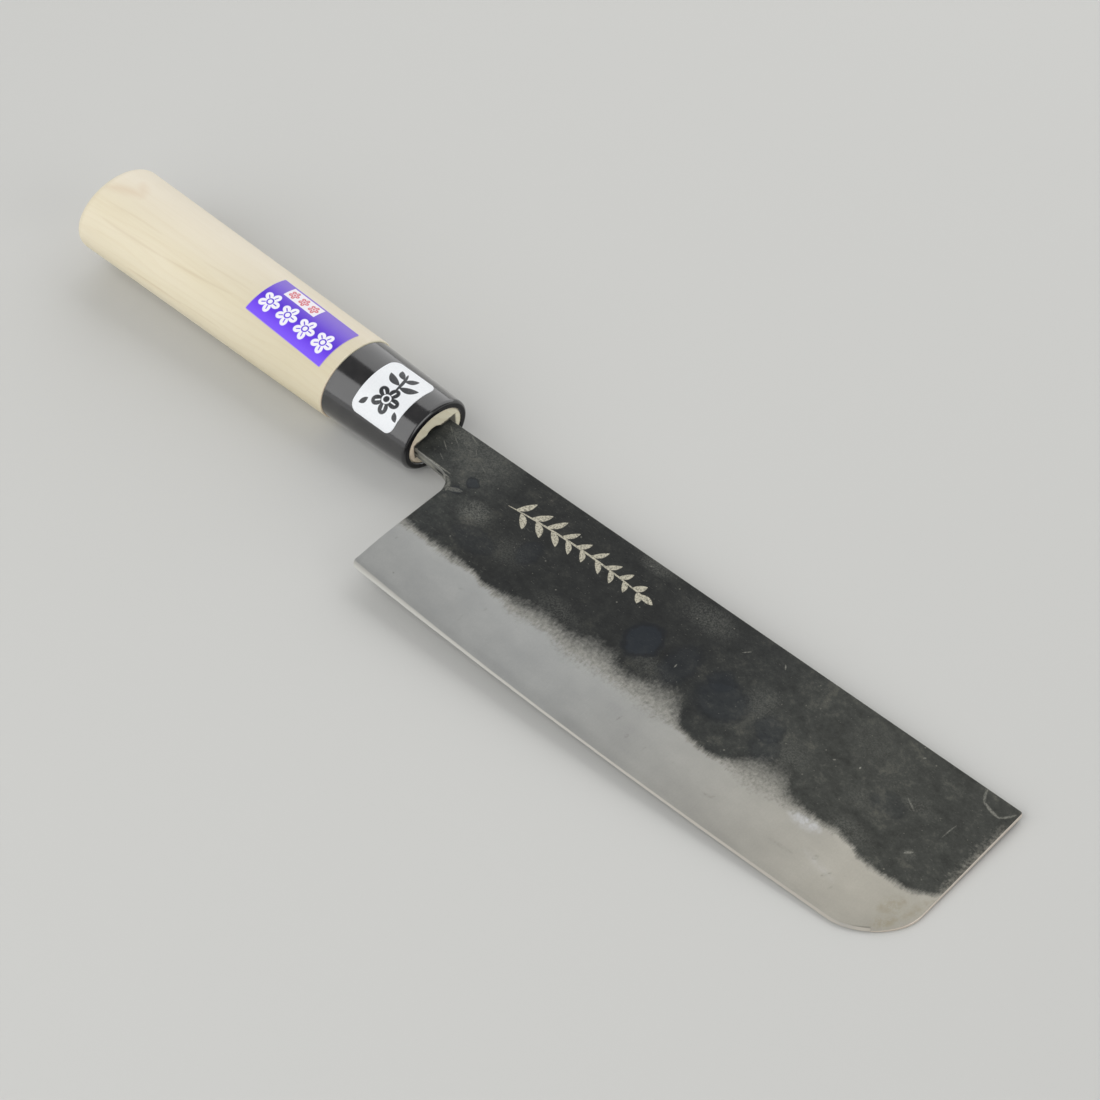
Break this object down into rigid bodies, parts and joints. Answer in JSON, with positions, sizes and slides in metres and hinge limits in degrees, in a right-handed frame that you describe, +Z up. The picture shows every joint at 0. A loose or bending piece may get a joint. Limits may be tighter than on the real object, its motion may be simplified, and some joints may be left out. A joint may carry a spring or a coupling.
{
  "type": "nakiri knife",
  "caption": "Straight-edged vegetable knife: wide laminated blade with a black forged face and ground bevel, oval pale wood handle, glossy black ferrule.",
  "frame": {"origin": "middle of the bounding box, on the table that the knife lies on with its left side", "axes": "+X from the butt of the handle to the tip of the blade, +Y from the cutting edge to the spine, +Z up from the table, out of the right side of the blade"},
  "size_m": [0.3045, 0.0604, 0.0253],
  "materials": {
    "core_steel": "satin",
    "cladding_iron": "matte",
    "handle_wood": "satin",
    "ferrule_gloss": "gloss",
    "violet_paper": "satin",
    "white_paper": "satin"
  },
  "bodies": {
    "root": {"core_steel": "core_steel", "cladding_right": "cladding_iron", "cladding_left": "cladding_iron", "handle_wood": "handle_wood", "ferrule": "ferrule_gloss", "handle_label": "violet_paper", "ferrule_label": "white_paper"}
  },
  "joints": []
}
